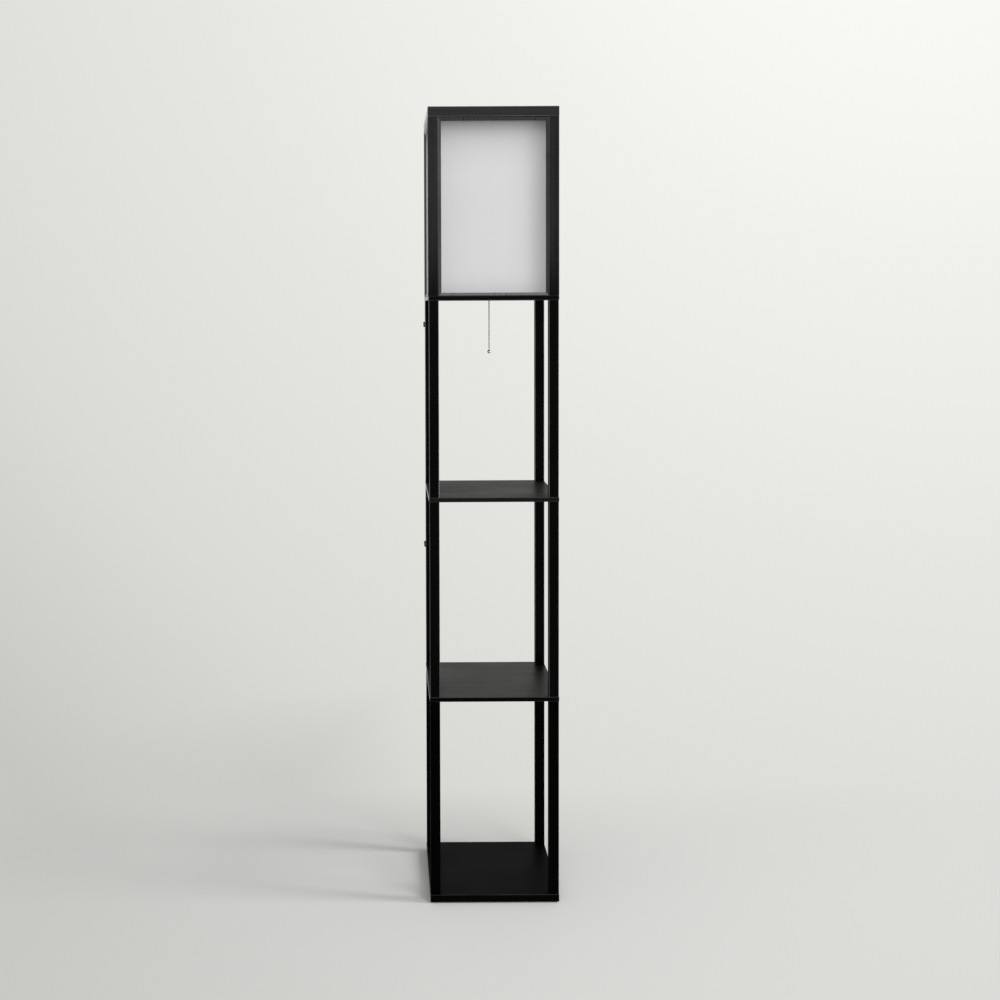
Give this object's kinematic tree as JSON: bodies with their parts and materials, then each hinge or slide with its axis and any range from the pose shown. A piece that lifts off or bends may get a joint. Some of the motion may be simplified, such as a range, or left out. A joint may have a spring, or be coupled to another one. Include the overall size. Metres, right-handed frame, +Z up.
{
  "type": "shelf floor lamp",
  "caption": "Tall square open-shelf floor lamp in black with a white diffuser box at the top and a hanging bead pull chain.",
  "frame": {"origin": "on the floor, under the middle of the base", "axes": "+X to the lamp's right, +Y to its back, +Z up; the front faces -Y"},
  "size_m": [0.2629, 0.26, 1.6],
  "materials": {
    "black_board": "satin black paint over fibreboard",
    "black_post": "satin black paint over wood",
    "black_bead": "satin black paint over moulded strip",
    "diffuser": "white translucent sheet",
    "foot_rubber": "matt black glide",
    "zinc_steel": "bright zinc plate",
    "brass": "plain brass",
    "dowel_wood": "bare beech",
    "black_plastic": "moulded black",
    "black_phenolic": "moulded black, slightly glossy",
    "white_plastic": "moulded white",
    "spring_steel": "oiled strip steel",
    "nickel": "nickel plate",
    "opal_plastic": "opal white",
    "chain_metal": "nickel-plated bead chain"
  },
  "bodies": {
    "root": {"base_board": "black_board", "base_screws": "zinc_steel", "bulb_body": "white_plastic", "bulb_cap": "nickel", "bulb_globe": "opal_plastic", "centre_contact": "brass", "clip_nails": "zinc_steel", "contact_blades": "brass", "contact_drum": "white_plastic", "cord_clips": "black_plastic", "cord_grommet": "black_plastic", "diffuser_back": "diffuser", "diffuser_front": "diffuser", "diffuser_left": "diffuser", "diffuser_right": "diffuser", "foot_pads": "foot_rubber", "frame_dowels": "dowel_wood", "glazing_beads_back": "black_bead", "glazing_beads_front": "black_bead", "glazing_beads_left": "black_bead", "glazing_beads_right": "black_bead", "holder_screws": "zinc_steel", "insert_nuts": "brass", "insulator_disc": "black_phenolic", "joining_studs": "zinc_steel", "lamp_floor": "black_board", "lamp_post_back_left": "black_post", "lamp_post_back_right": "black_post", "lamp_post_front_left": "black_post", "lamp_post_front_right": "black_post", "lampholder_base": "black_phenolic", "lampholder_sleeve": "black_phenolic", "lower_post_back_left": "black_post", "lower_post_back_right": "black_post", "lower_post_front_left": "black_post", "lower_post_front_right": "black_post", "lower_shelf": "black_board", "middle_post_back_left": "black_post", "middle_post_back_right": "black_post", "middle_post_front_left": "black_post", "middle_post_front_right": "black_post", "middle_shelf": "black_board", "return_spring": "spring_steel", "screw_shell": "brass", "spool_pin": "zinc_steel", "top_rail_back": "black_post", "top_rail_front": "black_post", "top_rail_left": "black_post", "top_rail_right": "black_post", "upper_post_back_left": "black_post", "upper_post_back_right": "black_post", "upper_post_front_left": "black_post", "upper_post_front_right": "black_post"},
    "spool": {"chain_spool": "white_plastic", "wound_chain": "chain_metal"},
    "pull": {"upper_chain": "chain_metal"},
    "pivot": {"chain_pivot_bead": "chain_metal"},
    "chain": {"pull_chain": "chain_metal", "pull_ball": "chain_metal"}
  },
  "joints": [
    {"name": "chain_pull", "type": "slide", "parent": "root", "child": "pull", "axis": [0, 0, -1], "range_m": [0, 0.012], "stiffness_N_per_m": 120, "springref_m": -0.004},
    {"name": "spool_turn", "type": "hinge", "parent": "root", "child": "spool", "pos_m": [0, 0, 1.241], "axis": [1, 0, 0], "range_deg": [0, 91]},
    {"name": "swing_front_back", "type": "hinge", "parent": "pull", "child": "pivot", "pos_m": [0, -0.0076, 1.2148], "axis": [1, 0, 0], "range_deg": [-60, 60]},
    {"name": "swing_sideways", "type": "hinge", "parent": "pivot", "child": "chain", "pos_m": [0, -0.0076, 1.2148], "axis": [0, 1, 0], "range_deg": [-60, 60]}
  ],
  "couplings": [
    {"joint": "spool_turn", "follows": "chain_pull", "rad_per_m": 131.58}
  ]
}
